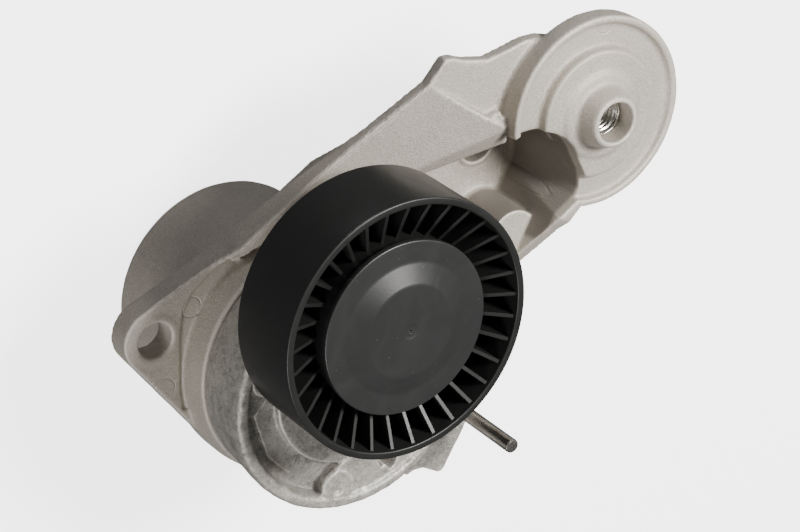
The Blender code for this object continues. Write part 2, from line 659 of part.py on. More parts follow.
for nm, z0, z1 in (("rear_bearing_seal", 86.25, 87.1), ("front_bearing_seal", 96.9, 97.75)):
    s = turned(nm, [(12.6, z1), (16.3, z1), (16.3, z0), (12.6, z0)], "seal_rubber", PULLEY_XY, steps=40)
    smooth(s)
    carried(s, PULLEY_AXIS)

WEB_TOP = 89.5
pulley = turned("pulley_shell", [
    (20.35, 100.9), (HUB_R - 0.5, 100.9), (HUB_R, 100.4), (HUB_R + 0.2, WEB_TOP), (RIM_INNER_R - 0.5, WEB_TOP),
    (RIM_INNER_R, PULLEY_Z[1] - 0.3), (RIM_INNER_R + 0.3, PULLEY_Z[1]), (PULLEY_R - 0.6, PULLEY_Z[1]),
    (PULLEY_R, PULLEY_Z[1] - 0.6), (PULLEY_R, PULLEY_Z[0] + 0.6), (PULLEY_R - 0.6, PULLEY_Z[0]),
    (RIM_INNER_R, PULLEY_Z[0]), (RIM_INNER_R - 0.4, 86.2), (23.6, 86.2), (23.2, 84.4),
    (20.35, 84.4)], "black_nylon", PULLEY_XY, steps=66)


def fins():
    """Radial fins between the hub and the rim, their fronts sloping in to the hub."""
    mesh = bpy.data.meshes.new("fins")
    bm = bmesh.new()
    r0, r1 = HUB_R - 0.6, RIM_INNER_R + 0.5
    for k in range(FIN_COUNT):
        a = math.radians(FIN_START_DEG - k * 360 / FIN_COUNT)
        res = bmesh.ops.create_cube(bm, size=1.0)
        vs = res["verts"]
        bmesh.ops.scale(bm, vec=((r1 - r0) * MM, FIN_THICK * MM, 1.0 * MM), verts=vs)
        for v in vs:
            inner_end = v.co.x < 0
            if v.co.z > 0:
                v.co.z = (97.6 if inner_end else 103.7) * MM
            else:
                v.co.z = (WEB_TOP - 0.8) * MM
        bmesh.ops.translate(bm, vec=((r0 + r1) / 2 * MM, 0, 0), verts=vs)
        bmesh.ops.rotate(bm, cent=(0, 0, 0), matrix=Matrix.Rotation(a, 3, "Z"), verts=vs)
    bm.to_mesh(mesh)
    bm.free()
    ob = add("fins", mesh, None)
    ob.location = (PULLEY_XY[0] * MM, PULLEY_XY[1] * MM, 0)
    return ob


join(pulley, fins())
smooth(pulley, 30)
pulley.data.materials.clear()
pulley.data.materials.append(MATS["black_nylon"])
carried(pulley, PULLEY_AXIS)

cap = turned("dust_cap", [
    (0, CAP_TOP_Z), (13.0, CAP_TOP_Z), (13.6, CAP_TOP_Z - 0.25), (18.5, CAP_Z + 0.15), (19.3, CAP_Z),
    (CAP_R - 0.4, CAP_Z), (CAP_R, CAP_Z - 0.4), (CAP_R, 101.3), (20.0, 101.3), (19.95, 98.7), (18.5, 98.7),
    (18.2, 101.6), (12.6, 104.1), (0, 104.1)], "cap_plastic", PULLEY_XY, steps=40)
cut(cap, drum("gate_dimple", 0.9, 105.0, 107, None, PULLEY_XY, seg=14))
smooth(cap, 30)
cap.data.materials.clear()
cap.data.materials.append(MATS["cap_plastic"])
carried(cap, PULLEY_AXIS)

washer = turned("bolt_washer", [
    (4.35, 99.4), (11.2, 99.4), (11.2, 98.3), (4.35, 98.3)], "plated_steel", PULLEY_XY, steps=32)
smooth(washer)
carried(washer, ARM_AXIS)

bolt = drum("pulley_bolt", 4.0, 68.0, 100.5, "plated_steel", PULLEY_XY, seg=24)
head = outline("bolt_head", circle(*PULLEY_XY, 7.5, n=6), 99.7, 103.0, None)
join(bolt, head)
smooth(bolt, 30)
bolt.data.materials.clear()
bolt.data.materials.append(MATS["plated_steel"])
carried(bolt, ARM_AXIS)
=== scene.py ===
"""Looks of the belt tensioner idler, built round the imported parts.

Fine meshes stand for the castings, the mouldings, the insert and the pin. They are made
with the same dimensions as the parts, and ride on the same bodies.
"""

import json
import math

import bmesh
import bpy
import numpy as np
from mathutils import Matrix, Vector, noise

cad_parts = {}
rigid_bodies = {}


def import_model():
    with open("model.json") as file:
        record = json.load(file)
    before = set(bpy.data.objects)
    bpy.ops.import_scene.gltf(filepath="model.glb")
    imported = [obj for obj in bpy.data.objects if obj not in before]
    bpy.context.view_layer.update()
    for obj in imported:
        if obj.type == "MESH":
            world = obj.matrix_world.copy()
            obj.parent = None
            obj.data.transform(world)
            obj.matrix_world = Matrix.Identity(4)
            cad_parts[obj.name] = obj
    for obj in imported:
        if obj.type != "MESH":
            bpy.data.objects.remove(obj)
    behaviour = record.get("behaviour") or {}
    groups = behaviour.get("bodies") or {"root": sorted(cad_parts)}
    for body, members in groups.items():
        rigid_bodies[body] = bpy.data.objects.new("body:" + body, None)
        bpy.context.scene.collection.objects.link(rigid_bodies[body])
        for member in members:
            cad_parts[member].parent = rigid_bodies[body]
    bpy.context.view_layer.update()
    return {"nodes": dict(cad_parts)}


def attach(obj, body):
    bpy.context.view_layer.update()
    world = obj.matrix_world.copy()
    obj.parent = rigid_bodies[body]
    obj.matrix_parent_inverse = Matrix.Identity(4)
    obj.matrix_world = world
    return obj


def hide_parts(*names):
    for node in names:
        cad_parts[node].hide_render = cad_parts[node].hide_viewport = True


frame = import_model()
NODES = frame["nodes"]

MM = 0.001

# ---------------------------------------------------------------- dimensions (mm)
PULLEY_XY = (-1.3, 30.1)      # pulley axis; the pivot axis is x = y = 0
PULLEY_R = 37.5
PULLEY_Z = (79.4, 104.6)
RIM_INNER_R = 35.4
FIN_COUNT = 33
FIN_START_DEG = 22.8
FIN_THICK = 0.95
HUB_R = 24.4

CAP_R = 25.1
CAP_Z = 103.3
CAP_TOP_Z = 105.6

BEARING_Z = (86.0, 98.0)
BEARING_BORE_R = 8.5
BEARING_OUTER_R = 20.0
BALL_R = 3.15
BALL_PITCH_R = 14.4
BALL_COUNT = 8

IDLER_XY = (81.4, 62.7)       # axis of the second idler seat
IDLER_SEAT_Z = 84.6
DISC_R = 28.5
DISC_BACK_Z = 69.1

EAR_HOLE_XY = (-46.8, 15.4)
EAR_R = 9.4
EAR_Z = (39.9, 48.1)
BOLT_R = 5.25                 # clearance for the mounting bolts
LOWER_BOLT_XY = (58.6, 48.7)  # mounting bolt under the scallop of the disc
POCKET_XY = (60.8, 45.4)      # axis of the drafted pocket round that bolt
WEB_Z = (42.6, 48.1)

CUP_R = 33.3
CUP_MOUTH_R = 34.6
CUP_WALL = 3.6
CUP_FLOOR = 5.0
COLLAR_R = (38.0, 36.9)       # at the foot and at the top
COLLAR_BORE_R = 33.2
COLLAR_Z = 55.6

HUB_Z = (56.4, 76.4)
ARM_HUB_R = 37.8
ARM_FACE_Z = 73.2
PIN_XY = (34.3, -17.0)
PIN_R = 2.1
PIN_Z = (51.0, 103.0)

SPRING_R = 24.6
SPRING_WIRE_R = 2.3
SPRING_TURNS = 5.0
SHAFT_R = 7.0



WORK = bpy.data.collections.new("workbench")
LOOKS = bpy.data.collections.new("looks")
bpy.context.scene.collection.children.link(WORK)
bpy.context.scene.collection.children.link(LOOKS)
PARTS = WORK


def add(name, mesh, kind, col=None):
    ob = bpy.data.objects.new(name, mesh)
    WORK.objects.link(ob)
    return ob


def to_cutter(ob):
    return ob


def turned(name, profile, kind, at=(0, 0), steps=64):
    """Profile points (radius, height) in mm, down the outer side first."""
    mesh = bpy.data.meshes.new(name)
    bm = bmesh.new()
    vs = [bm.verts.new((max(r, 0) * MM, 0, z * MM)) for r, z in profile]
    closed = not (profile[0][0] <= 0 and profile[-1][0] <= 0)
    for (a, b), (p, q) in zip(zip(vs, vs[1:]), zip(profile, profile[1:])):
        if p[0] > 0 or q[0] > 0:      # no edge along the axis itself
            bm.edges.new((a, b))
    if closed:
        bm.edges.new((vs[-1], vs[0]))
    bm.to_mesh(mesh)
    bm.free()
    steps = steps * 3
    ob = add(name, mesh, kind)
    ob.location = (at[0] * MM, at[1] * MM, 0)
    s = ob.modifiers.new("turn", "SCREW")
    s.axis = "Z"
    s.angle = 2 * math.pi
    s.steps = steps
    s.render_steps = steps
    s.use_merge_vertices = True
    s.merge_threshold = 0.00002
    s.use_smooth_shade = True
    return ob


def outline(name, points, z0, z1, kind, at=(0, 0), turn=0.0):
    """A flat outline in mm, given thickness from z0 to z1 and made a mesh."""
    cu = bpy.data.curves.new(name, "CURVE")
    cu.dimensions = "2D"
    cu.fill_mode = "BOTH"
    cu.extrude = (z1 - z0) / 2 * MM
    sp = cu.splines.new("POLY")
    sp.points.add(len(points) - 1)
    for p, (x, y) in zip(sp.points, points):
        p.co = (x * MM, y * MM, 0, 1)
    sp.use_cyclic_u = True
    tmp = bpy.data.objects.new(name + "_curve", cu)
    PARTS.objects.link(tmp)
    bpy.context.view_layer.update()
    dg = bpy.context.evaluated_depsgraph_get()
    mesh = bpy.data.meshes.new_from_object(tmp.evaluated_get(dg))
    bpy.data.objects.remove(tmp, do_unlink=True)
    bm = bmesh.new()
    bm.from_mesh(mesh)
    bmesh.ops.remove_doubles(bm, verts=bm.verts, dist=0.000005)
    bmesh.ops.recalc_face_normals(bm, faces=bm.faces)
    if bm.calc_volume(signed=True) < 0:
        bmesh.ops.reverse_faces(bm, faces=bm.faces)
    bm.to_mesh(mesh)
    bm.free()
    mesh.name = name
    ob = add(name, mesh, kind)
    ob.location = (at[0] * MM, at[1] * MM, (z0 + z1) / 2 * MM)
    ob.rotation_euler = (0, 0, turn)
    return ob


def drum(name, r, z0, z1, kind, at=(0, 0), r_top=None, seg=40):
    mesh = bpy.data.meshes.new(name)
    bm = bmesh.new()
    bmesh.ops.create_cone(bm, cap_ends=True, segments=seg * 2, radius1=r * MM,
                          radius2=(r if r_top is None else r_top) * MM, depth=(z1 - z0) * MM)
    bm.to_mesh(mesh)
    bm.free()
    ob = add(name, mesh, kind)
    ob.location = (at[0] * MM, at[1] * MM, (z0 + z1) / 2 * MM)
    return ob


def block(name, size, centre, kind, rot=None):
    mesh = bpy.data.meshes.new(name)
    bm = bmesh.new()
    bmesh.ops.create_cube(bm, size=1.0)
    bmesh.ops.scale(bm, vec=Vector(size) * MM, verts=bm.verts)
    bm.to_mesh(mesh)
    bm.free()
    ob = add(name, mesh, kind)
    ob.location = Vector(centre) * MM
    if rot is not None:
        ob.rotation_euler = rot
    return ob


def boolean(ob, other, op):
    m = ob.modifiers.new(op.lower(), "BOOLEAN")
    m.operation = op
    m.solver = "EXACT"
    m.object = to_cutter(other)
    return ob


def join(ob, *others):
    for o in others:
        boolean(ob, o, "UNION")
    return ob


def cut(ob, *others):
    for o in others:
        boolean(ob, o, "DIFFERENCE")
    return ob


def circle(cx, cy, r, a0=0.0, a1=360.0, n=24, ends=False):
    n = n * 2
    full = abs(a1 - a0) >= 360
    k = n if full and not ends else n - 1
    return [(cx + r * math.cos(math.radians(a0 + (a1 - a0) * i / k)),
             cy + r * math.sin(math.radians(a0 + (a1 - a0) * i / k))) for i in range(n)]


def half_space(name, through, slope, below=True, size=400):
    """A big block whose top (or bottom) face is the sloped plane
    z = z0 + sx (x - x0) + sy (y - y0)."""
    x0, y0, z0 = through
    n = Vector((-slope[0], -slope[1], 1)).normalized()
    ob = block(name, (size, size, size), (0, 0, 0), None)
    rot = Vector((0, 0, 1)).rotation_difference(n)
    ob.rotation_mode = "QUATERNION"
    ob.rotation_quaternion = rot
    centre = Vector((x0, y0, z0)) + n * (size / 2 * (-1 if below else 1))
    ob.location = centre * MM
    return ob



def evaluated(ob):
    bpy.context.view_layer.update()
    dg = bpy.context.evaluated_depsgraph_get()
    mesh = bpy.data.meshes.new_from_object(ob.evaluated_get(dg))
    mesh.transform(ob.matrix_world)
    return mesh


def final(name, mesh, mat, body, node=None, angle=35):
    """A finished piece in the looks collection, riding on its body."""
    ob = bpy.data.objects.new(name, mesh)
    LOOKS.objects.link(ob)
    mesh.materials.clear()
    mesh.materials.append(mat)
    mesh.shade_smooth()
    if angle:
        mesh.set_sharp_from_angle(angle=math.radians(angle))
    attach(ob, body)
    if node:
        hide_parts(node)
    return ob


def skin(mesh, voxel, rounds, most=190000, factor=0.5):
    """Rounds the edges of a solid the way a casting's are: voxel remesh, then a light smooth."""
    tmp = bpy.data.objects.new("skin_tmp", mesh)
    WORK.objects.link(tmp)
    r = tmp.modifiers.new("voxels", "REMESH")
    r.mode = "VOXEL"
    r.voxel_size = voxel * MM
    s = tmp.modifiers.new("soft", "SMOOTH")
    s.factor = factor
    s.iterations = rounds
    out = evaluated(tmp)
    out.calc_loop_triangles()
    n = len(out.loop_triangles)
    if n > most:
        tmp.modifiers.clear()
        tmp.data = out
        d = tmp.modifiers.new("fewer", "DECIMATE")
        d.ratio = most / n
        out = evaluated(tmp)
    bpy.data.objects.remove(tmp, do_unlink=True)
    return out


def clear_bench():
    for o in list(WORK.objects):
        bpy.data.objects.remove(o, do_unlink=True)


# ---------------------------------------------------------------- procedural materials
class Nodes:
    """Small helper for building a node tree."""

    def __init__(self, name):
        self.m = bpy.data.materials.new(name)
        self.m.use_nodes = True
        self.t = self.m.node_tree
        self.b = self.t.nodes["Principled BSDF"]
        self.co = self.t.nodes.new("ShaderNodeTexCoord").outputs["Object"]

    def put(self, socket, value):
        if isinstance(value, bpy.types.NodeSocket):
            self.t.links.new(value, socket)
        else:
            socket.default_value = value

    def math(self, op, a, b=0.0, clamp=False):
        n = self.t.nodes.new("ShaderNodeMath")
        n.operation = op
        n.use_clamp = clamp
        self.put(n.inputs[0], a)
        self.put(n.inputs[1], b)
        return n.outputs[0]

    def noise(self, scale, detail=4.0, rough=0.55, at=None, distortion=0.0):
        n = self.t.nodes.new("ShaderNodeTexNoise")
        n.inputs["Scale"].default_value = scale
        n.inputs["Detail"].default_value = detail
        n.inputs["Roughness"].default_value = rough
        n.inputs["Distortion"].default_value = distortion
        self.t.links.new(at or self.co, n.inputs["Vector"])
        return n.outputs["Fac"]

    def cells(self, scale, at=None, feature="F1"):
        n = self.t.nodes.new("ShaderNodeTexVoronoi")
        n.feature = feature
        n.inputs["Scale"].default_value = scale
        self.t.links.new(at or self.co, n.inputs["Vector"])
        return n.outputs["Distance"]

    def stretched(self, sx, sy, sz):
        n = self.t.nodes.new("ShaderNodeMapping")
        n.inputs["Scale"].default_value = (sx, sy, sz)
        self.t.links.new(self.co, n.inputs["Vector"])
        return n.outputs[0]

    def spread(self, value, lo, hi, to_lo=0.0, to_hi=1.0):
        n = self.t.nodes.new("ShaderNodeMapRange")
        n.interpolation_type = "SMOOTHSTEP"
        self.put(n.inputs["Value"], value)
        n.inputs["From Min"].default_value = lo
        n.inputs["From Max"].default_value = hi
        n.inputs["To Min"].default_value = to_lo
        n.inputs["To Max"].default_value = to_hi
        return n.outputs["Result"]

    def mix(self, fac, a, b, blend="MIX"):
        n = self.t.nodes.new("ShaderNodeMix")
        n.data_type = "RGBA"
        n.blend_type = blend
        self.put(n.inputs[0], fac)
        for s, v in ((n.inputs[6], a), (n.inputs[7], b)):
            self.put(s, v if isinstance(v, bpy.types.NodeSocket) else (*v, 1.0))
        return n.outputs[2]

    def xyz(self):
        n = self.t.nodes.new("ShaderNodeSeparateXYZ")
        self.t.links.new(self.co, n.inputs[0])
        return n.outputs

    def from_axis(self, x, y):
        """Distance in mm from a vertical line through x, y (mm)."""
        s = self.xyz()
        dx = self.math("SUBTRACT", s[0], x * MM)
        dy = self.math("SUBTRACT", s[1], y * MM)
        d2 = self.math("ADD", self.math("MULTIPLY", dx, dx), self.math("MULTIPLY", dy, dy))
        return self.math("MULTIPLY", self.math("SQRT", d2), 1000.0)

    def ring(self, x, y, r, width):
        """1 on a circle of radius r (mm) about x, y, falling to 0 at the width."""
        off = self.math("ABSOLUTE", self.math("SUBTRACT", self.from_axis(x, y), r))
        return self.spread(off, 0.0, width, 1.0, 0.0)

    def normal(self, height_mm, strength=1.0):
        n = self.t.nodes.new("ShaderNodeBump")
        n.inputs["Distance"].default_value = MM
        n.inputs["Strength"].default_value = strength
        self.put(n.inputs["Height"], height_mm)
        self.t.links.new(n.outputs[0], self.b.inputs["Normal"])

    def edges(self, lo, hi):
        g = self.t.nodes.new("ShaderNodeNewGeometry")
        return self.spread(g.outputs["Pointiness"], lo, hi)

    def sum(self, *terms):
        out = terms[0]
        for t in terms[1:]:
            out = self.math("ADD", out, t)
        return out


def cast(name, light, dark, speck, rough, metallic, grain, lumps, marks=(), stain=None, edge=0.35,
         spread=(0.30, 0.70), painted_pocket_shade=None):
    """As-cast aluminium: fine grain, soft mottling, edges painted lighter (worn edges with a painted edge
    highlight) and creases painted darker (painted shade).
    """
    k = Nodes(name)
    fine = k.noise(2300, 3.0, 0.6)
    mid = k.noise(420, 4.0, 0.6)
    broad = k.noise(75, 4.0, 0.55, distortion=0.4)
    pits = k.spread(k.cells(1150), 0.0, 0.34, 1.0, 0.0)
    blotch = k.math("ADD", k.math("MULTIPLY", mid, 0.55), k.math("MULTIPLY", broad, 0.45))
    col = k.mix(k.spread(blotch, spread[0], spread[1]), dark, light)
    col = k.mix(k.spread(fine, 0.50, 0.70, 0.0, 0.8), col, speck)
    col = k.mix(k.spread(fine, 0.48, 0.32, 0.0, 0.45), col, tuple(c * 0.6 for c in dark))
    col = k.mix(k.math("MULTIPLY", pits, 0.16), col, tuple(c * 0.45 for c in dark))
    if stain:
        patch = k.spread(k.noise(38, 5.0, 0.65, distortion=0.8), 0.54, 0.72, 0.0, 0.5)
        col = k.mix(patch, col, stain)
    # painted edge highlight: convex edges (by pointiness) lighter in colour, also standing for worn edges
    col = k.mix(k.math("MULTIPLY", k.edges(0.505, 0.56), edge), col, tuple(min(1, c * 1.35) for c in speck))
    # painted shade: concave creases (by pointiness) darker in colour
    col = k.mix(k.math("MULTIPLY", k.edges(0.495, 0.44), 0.45), col, tuple(c * 0.5 for c in dark))
    if painted_pocket_shade:
        # painted shade: the steep walls of the deep pocket under the shield disc are darkened in colour where the
        # disc's shadow falls
        x, y, r, z0, z1 = painted_pocket_shade
        g = k.t.nodes.new("ShaderNodeNewGeometry")
        s = k.t.nodes.new("ShaderNodeSeparateXYZ")
        k.t.links.new(g.outputs["Normal"], s.inputs[0])
        pocket_shade_mask = k.math("MULTIPLY", k.spread(k.from_axis(x, y), r + 1.2, r - 0.6),
                        k.spread(s.outputs[2], 0.72, 0.42))
        zz = k.math("MULTIPLY", k.xyz()[2], 1000.0)
        pocket_shade_mask = k.math("MULTIPLY", pocket_shade_mask, k.math("MULTIPLY", k.spread(zz, z0, z0 + 2.0),
                                                   k.spread(zz, z1, z1 - 1.5)))
        col = k.mix(k.math("MULTIPLY", pocket_shade_mask, 0.85), col, tuple(c * 0.42 for c in dark))
    k.put(k.b.inputs["Base Color"], col)
    k.put(k.b.inputs["Roughness"], k.spread(fine, 0.3, 0.7, rough - 0.09, rough + 0.1))
    k.b.inputs["Metallic"].default_value = metallic
    h = k.sum(k.math("MULTIPLY", fine, grain), k.math("MULTIPLY", mid, lumps),
              k.math("MULTIPLY", pits, -0.35 * grain))
    for x, y, r, w, deep in marks:
        h = k.math("ADD", h, k.math("MULTIPLY", k.ring(x, y, r, w), -deep))
    k.normal(h)
    return k.m


def moulded(name, base, rough, bump, dust, marks=(), scuff=0.0):
    """Moulded plastic: satin, faint flow variation and a little dust."""
    k = Nodes(name)
    fine = k.noise(1500, 3.0, 0.5)
    flow = k.noise(55, 4.0, 0.6, distortion=1.2)
    specks = k.spread(k.cells(420), 0.0, 0.07, 1.0, 0.0)
    col = k.mix(k.spread(flow, 0.35, 0.7), tuple(c * 0.93 for c in base), tuple(c * 1.08 for c in base))
    col = k.mix(k.math("MULTIPLY", specks, dust), col, (0.32, 0.32, 0.30))
    k.put(k.b.inputs["Base Color"], col)
    r = k.math("ADD", k.spread(flow, 0.3, 0.7, rough - 0.02, rough + 0.03),
               k.math("MULTIPLY", specks, 0.2))
    if scuff:
        lines = k.noise(140, 6.0, 0.7, at=k.stretched(1.0, 9.0, 1.0))
        r = k.math("ADD", r, k.spread(lines, 0.55, 0.75, 0.0, scuff))
    k.put(k.b.inputs["Roughness"], r)
    h = k.sum(k.math("MULTIPLY", fine, bump), k.math("MULTIPLY", flow, bump))
    for x, y, rr, w, deep in marks:
        h = k.math("ADD", h, k.math("MULTIPLY", k.ring(x, y, rr, w), -deep))
    k.normal(h)
    return k.m


def steel(name, base, rough, streak=(1.0, 1.0, 0.06), bump=0.01, metallic=1.0):
    """Turned or drawn steel: streaks along or round the piece, faint tarnish."""
    k = Nodes(name)
    lines = k.noise(1400, 4.0, 0.6, at=k.stretched(*streak))
    tarnish = k.noise(160, 4.0, 0.6)
    col = k.mix(k.spread(tarnish, 0.35, 0.7), tuple(c * 0.78 for c in base), base)
    col = k.mix(k.spread(lines, 0.5, 0.8, 0.0, 0.4), col, tuple(c * 0.6 for c in base))
    k.put(k.b.inputs["Base Color"], col)
    k.put(k.b.inputs["Roughness"], k.spread(lines, 0.3, 0.7, rough - 0.06, rough + 0.1))
    k.b.inputs["Metallic"].default_value = metallic
    k.normal(k.math("MULTIPLY", lines, bump))
    return k.m


EAR_MARKS = [(-34.8, 22.0, 3.0, 0.45, 0.14), (-44.5, -0.2, 3.2, 0.45, 0.14)]
# the bracket material's last argument paints shade on the steep pocket walls under the shield disc
CAST = cast("bracket_aluminium", (0.53, 0.485, 0.425), (0.475, 0.43, 0.375), (0.67, 0.625, 0.56), 0.50, 0.25,
            0.16, 0.05, marks=EAR_MARKS + [(84.0, 88.0, 2.6, 0.4, 0.12), (70.0, 38.5, 2.4, 0.4, 0.12)],
            painted_pocket_shade=(61.5, 44.5, 19.0, 48.6, 73.6))
# the arm's edge value of 0.7 doubles the painted edge highlight on its convex edges
ARM_CAST = cast("arm_aluminium", (0.50, 0.475, 0.435), (0.27, 0.26, 0.24), (0.62, 0.59, 0.545), 0.44, 0.35,
                0.12, 0.20, stain=(0.17, 0.135, 0.11), edge=0.7, spread=(0.38, 0.62))
NYLON = moulded("pulley_nylon", (0.0105, 0.0112, 0.0106), 0.42, 0.006, 0.12, scuff=0.08)
CAPMAT = moulded("cap_nylon", (0.022, 0.0225, 0.0225), 0.36, 0.010, 0.40)
DARKNYLON = moulded("inner_nylon", (0.03, 0.03, 0.03), 0.5, 0.02, 0.1)
POLYMER = moulded("bush_polymer", (0.50, 0.45, 0.32), 0.5, 0.02, 0.05)
RUBBER = moulded("seal_rubber", (0.035, 0.022, 0.018), 0.65, 0.02, 0.2)
PLATED = steel("plated_steel", (0.60, 0.60, 0.61), 0.26)
PIN_STEEL = steel("pin_steel", (0.52, 0.50, 0.47), 0.30, bump=0.02)
BRIGHT = steel("bearing_steel", (0.68, 0.68, 0.69), 0.16, streak=(1, 1, 1), bump=0.004)
WIRE = steel("spring_wire", (0.13, 0.13, 0.14), 0.42, streak=(1, 1, 1), bump=0.02, metallic=0.8)
THREAD = steel("thread_steel", (0.66, 0.64, 0.60), 0.24, streak=(1, 1, 1), bump=0.012)


# ---------------------------------------------------------------- bracket casting
# Plate that rises from the ear towards the idler seat: z of its upper face.
PLANE_A = ((29.7, 79.8, 67.6), (0.26, 0.093))
PLANE_A_BACK = ((29.7, 79.8, 63.4), (0.20, 0.13))
PLANE_A_CHAMFER = ((27.2, 54.2, 64.57), (0.067, 0.650))
PLANE_G = ((29.7, 79.8, 67.6), (0.030, -0.013))

bracket = turned("bracket_casting", [
    (COLLAR_BORE_R, COLLAR_Z), (COLLAR_R[1] - 0.4, COLLAR_Z), (COLLAR_R[1], COLLAR_Z - 0.4),
    (COLLAR_R[0], EAR_Z[1]), (COLLAR_R[0], EAR_Z[0] + 1.0), (CUP_MOUTH_R, EAR_Z[0] - 2.0),
    (CUP_R, 2.2), (CUP_R - 0.65, 0.65), (CUP_R - 2.2, 0.0), (0, 0.0),
    (0, CUP_FLOOR + 9.0), (10.6, CUP_FLOOR + 9.0), (11.4, CUP_FLOOR),
    (CUP_R - CUP_WALL - 1.5, CUP_FLOOR), (CUP_R - CUP_WALL, CUP_FLOOR + 1.5),
    (CUP_R - CUP_WALL, EAR_Z[1]), (COLLAR_BORE_R, EAR_Z[1] + 0.6),
], "die_cast_aluminium", steps=44)


def ear_outline():
    """Round end about the bolt hole, with straight sides to the collar."""
    hx, hy = EAR_HOLE_XY
    up = Vector((-0.387, 0.922))
    down = Vector((-0.815, -0.58))
    a_up = math.degrees(math.atan2(up.y, up.x))
    a_down = math.degrees(math.atan2(down.y, down.x)) + 360
    arc = circle(hx, hy, EAR_R, a_up, a_down, 14, ends=True)
    start = (hx + up.x * EAR_R, hy + up.y * EAR_R)
    t = 32.0
    top = [(start[0] + 0.922 * t, start[1] + 0.387 * t)]
    inner = circle(0, 0, 35.6, a_down, 120, 16, ends=True)
    return top + arc + [(down.x * 37.6, down.y * 37.6)] + inner


def side_wall_top(t):
    """Points along the outer edge of the rising plate, t from 0 to 1."""
    ax, ay, bx, by = -20.6, 37.2, 29.7, 79.8
    bow = 1.4 * math.sin(math.pi * t)
    return (ax + (bx - ax) * t - 0.65 * bow, ay + (by - ay) * t + 0.76 * bow)


ear = outline("ear", ear_outline(), EAR_Z[0], EAR_Z[1], None)
ear_rim = drum("ear_rim", 8.0, EAR_Z[1] - 1.0, EAR_Z[1] + 0.25, None, EAR_HOLE_XY, r_top=7.4)

# web between the collar and the idler column, with the lower bolt boss
web = outline("web", [
    (-12, 34), (-15, 37.2), (-3.2, 46.6), (20, 55.4), (44, 65), (68, 70.5), (86, 72), (95, 62),
    (91, 50), (82, 40.5), (76.3, 34.9), (70.4, 28.8), (64.8, 19.4), (62.3, 15.8), (50, 9.0), (37.0, 4)]
    + circle(0, 0, 35.6, 6, 112, 14, ends=True), WEB_Z[0], WEB_Z[1], None)
web_boss = drum("web_boss", 9.0, EAR_Z[0], WEB_Z[1] + 0.2, None, LOWER_BOLT_XY)
web_ring = drum("web_ring", 6.6, WEB_Z[1] - 1, WEB_Z[1] + 1.0, None, LOWER_BOLT_XY, r_top=6.3)

# rising plate
plate_a_pts = [(-30.2, 32.5)] + [side_wall_top(i / 6) for i in range(7)] + [
    (53.3, 63.2), (55.4, 57.2), (28.3, 50.9), (8.0, 48.0), (-6.0, 41.3), (-16.0, 36.6), (-21.8, 35.5),
    (-28.5, 32.2)]
plate_a = outline("plate_a", plate_a_pts, 38, 76, None)
boolean(plate_a, half_space("plane_a_top", *PLANE_A), "INTERSECT")
boolean(plate_a, half_space("plane_a_back", *PLANE_A_BACK, below=False), "INTERSECT")
# chamfer along the lower edge of the plate
chamfer = outline("plate_chamfer", [(24.0, 47.0), (22.0, 57.0), (30.0, 64.0), (60.0, 72.0), (64.0, 54.0)],
                  50, 85, None)
boolean(chamfer, half_space("chamfer_plane", *PLANE_A_CHAMFER, below=False), "INTERSECT")
cut(plate_a, chamfer)
# side wall under the plate's outer edge: deep at the ear, running out two thirds of the way up
foot_out = [side_wall_top(i / 10) for i in range(8)]
foot = outline("plate_foot", [(-23.5, 35.15), (-22.0, 35.9)]
               + [(x + 0.04, y - 0.05) for x, y in foot_out]
               + [(x + 2.1, y - 2.45) for x, y in reversed(foot_out)] + [(-22.6, 33.2)], 40.1, 72, None)
boolean(foot, half_space("foot_top", (29.7, 79.8, 67.2), PLANE_A[1]), "INTERSECT")
boolean(foot, half_space("foot_bottom", (-20.75, 36.9, 39.95), (0.308, 0.261), below=False), "INTERSECT")


# vertical walls under the plate and round the pocket
def wall(name, a, b, thick, z0, z1):
    ax, ay = a
    bx, by = b
    L = math.hypot(bx - ax, by - ay)
    return block(name, (L, thick, z1 - z0), ((ax + bx) / 2, (ay + by) / 2, (z0 + z1) / 2),
                 None, (0, 0, math.atan2(by - ay, bx - ax)))


rib_a = outline("rib_a", [(-6, 42.5), (9, 51.5), (28, 56.6), (52.6, 65.0), (51.2, 68.4),
                          (26.6, 60.0), (6.6, 54.8), (-8.4, 45.6)], WEB_Z[0] + 1, 74, None)
boolean(rib_a, half_space("rib_a_top", (29.7, 79.8, 66.6), PLANE_A[1]), "INTERSECT")
def drafted(name, low, high, z0, z1):
    """An outline whose sides lean, from the points low at z0 to the points high at z1."""
    ob = outline(name, low, z0, z1, None)
    for v in ob.data.vertices:
        if v.co.z > 0:
            i = min(range(len(low)), key=lambda k: (low[k][0] * MM - v.co.x) ** 2
                    + (low[k][1] * MM - v.co.y) ** 2)
            v.co.x, v.co.y = high[i][0] * MM, high[i][1] * MM
    bm = bmesh.new()
    bm.from_mesh(ob.data)
    bmesh.ops.triangulate(bm, faces=bm.faces)
    bm.to_mesh(ob.data)
    bm.free()
    return ob


def pocket_outline(r, dx):
    """The pocket round the lower bolt: an arc on the idler's side, a straight wall below."""
    return (circle(*POCKET_XY, r, 88, -27, 12, ends=True)
            + [(65.7 + dx, 32.3), (60.2 + dx, 21.9), (57.4 + dx, 16.5), (46, 14), (40, 40), (56, 61)])


def pocket(name):
    return drafted(name, pocket_outline(10.2, 0.0), pocket_outline(17.8, 3.3), WEB_Z[1], 77.0)


# wall on the outer side of the pocket, its top rising to the lip of the shield disc
rim_low = outline("rim_low", [(55, 12.2), (62.6, 15.6), (65.0, 19.2), (70.6, 28.6), (76.6, 34.6),
                              (79.5, 38.5), (74.0, 44.0), (66.0, 38.0), (58.0, 20.0)],
                  WEB_Z[0] + 0.5, 75.6, None)
boolean(rim_low, half_space("rim_low_top", (62.5, 19.0, 66.0), (0.31, 0.53)), "INTERSECT")
cut(rim_low, pocket("pocket_1"), drum("rim_in_disc", 26.3, 73.7, 80.0, None, IDLER_XY, seg=48))
